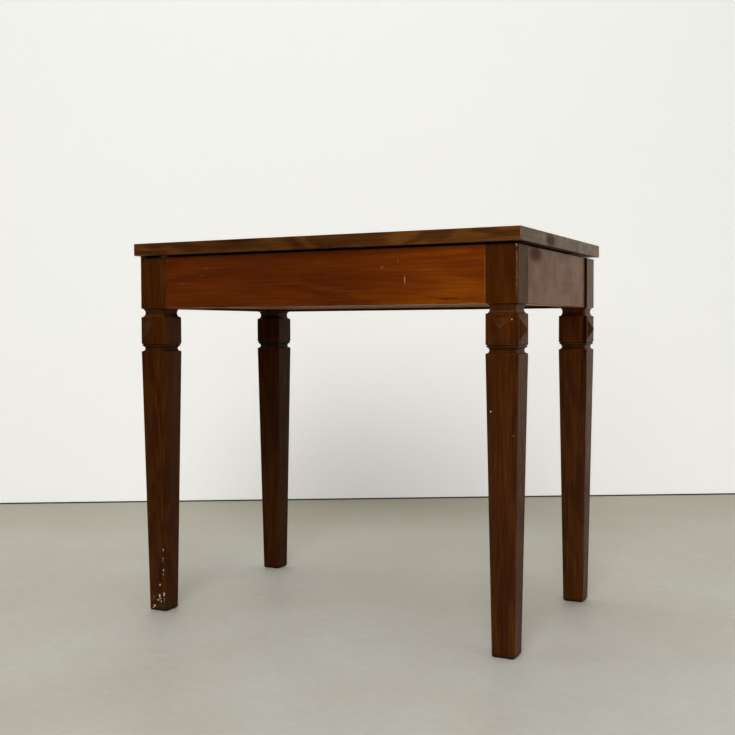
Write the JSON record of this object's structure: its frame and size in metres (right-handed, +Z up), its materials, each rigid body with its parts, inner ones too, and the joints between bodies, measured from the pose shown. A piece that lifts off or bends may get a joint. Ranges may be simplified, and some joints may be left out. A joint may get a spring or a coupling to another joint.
{
  "type": "sewing table",
  "caption": "Small wooden sewing table on square tapered legs with pyramid bosses, with a hinged lid over a shallow compartment and a sliding tray.",
  "frame": {"origin": "on the floor under the middle of the table", "axes": "+Z up, +X to the right along the width, +Y to the back; the lid's hinges are at -X"},
  "size_m": [0.656, 0.413, 0.6],
  "materials": {
    "leg_wood": "dark brown stained hardwood under worn semi-gloss varnish",
    "apron_wood": "reddish brown straight-grained wood under semi-gloss varnish",
    "lipping_wood": "mid brown long-grain lipping under worn semi-gloss varnish",
    "lid_veneer": "figured brown veneer under semi-gloss varnish",
    "plywood": "bare light tan plywood",
    "inner_beech": "bare aged beech",
    "brass": "dull aged brass",
    "felt": "dark green felt"
  },
  "bodies": {
    "frame": {"leg_front_left": "leg_wood", "leg_front_right": "leg_wood", "leg_rear_left": "leg_wood", "leg_rear_right": "leg_wood", "apron_front": "apron_wood", "apron_rear": "apron_wood", "apron_left": "apron_wood", "apron_right": "apron_wood", "bottom_panel": "plywood", "divider_left": "inner_beech", "divider_right": "inner_beech", "tray_runner_front": "inner_beech", "tray_runner_rear": "inner_beech", "runner_screws": "brass", "hinge_front_frame_leaf": "brass", "hinge_rear_frame_leaf": "brass", "hinge_front_pin": "brass", "hinge_rear_pin": "brass", "hinge_frame_screws": "brass", "lid_bumpers": "felt", "post_felts": "felt"},
    "lid": {"lid_panel": "lid_veneer", "lid_lipping_front": "lipping_wood", "lid_lipping_rear": "lipping_wood", "lid_lipping_left": "lipping_wood", "lid_lipping_right": "lipping_wood", "hinge_front_lid_leaf": "brass", "hinge_rear_lid_leaf": "brass", "hinge_lid_screws": "brass"},
    "tray": {"tray_side_left": "inner_beech", "tray_side_right": "inner_beech", "tray_end_front": "inner_beech", "tray_end_rear": "inner_beech", "tray_bottom": "plywood", "tray_divider_long": "inner_beech", "tray_divider_cross": "inner_beech", "peg_block": "inner_beech", "reel_pegs": "inner_beech"}
  },
  "joints": [
    {"name": "lid_hinge", "type": "hinge", "parent": "frame", "child": "lid", "pos_m": [-0.3214, 0, 0.57875], "axis": [0, -1, 0], "range_deg": [0, 98]},
    {"name": "tray_slide", "type": "slide", "parent": "frame", "child": "tray", "axis": [1, 0, 0], "range_m": [0, 0.3356]}
  ]
}
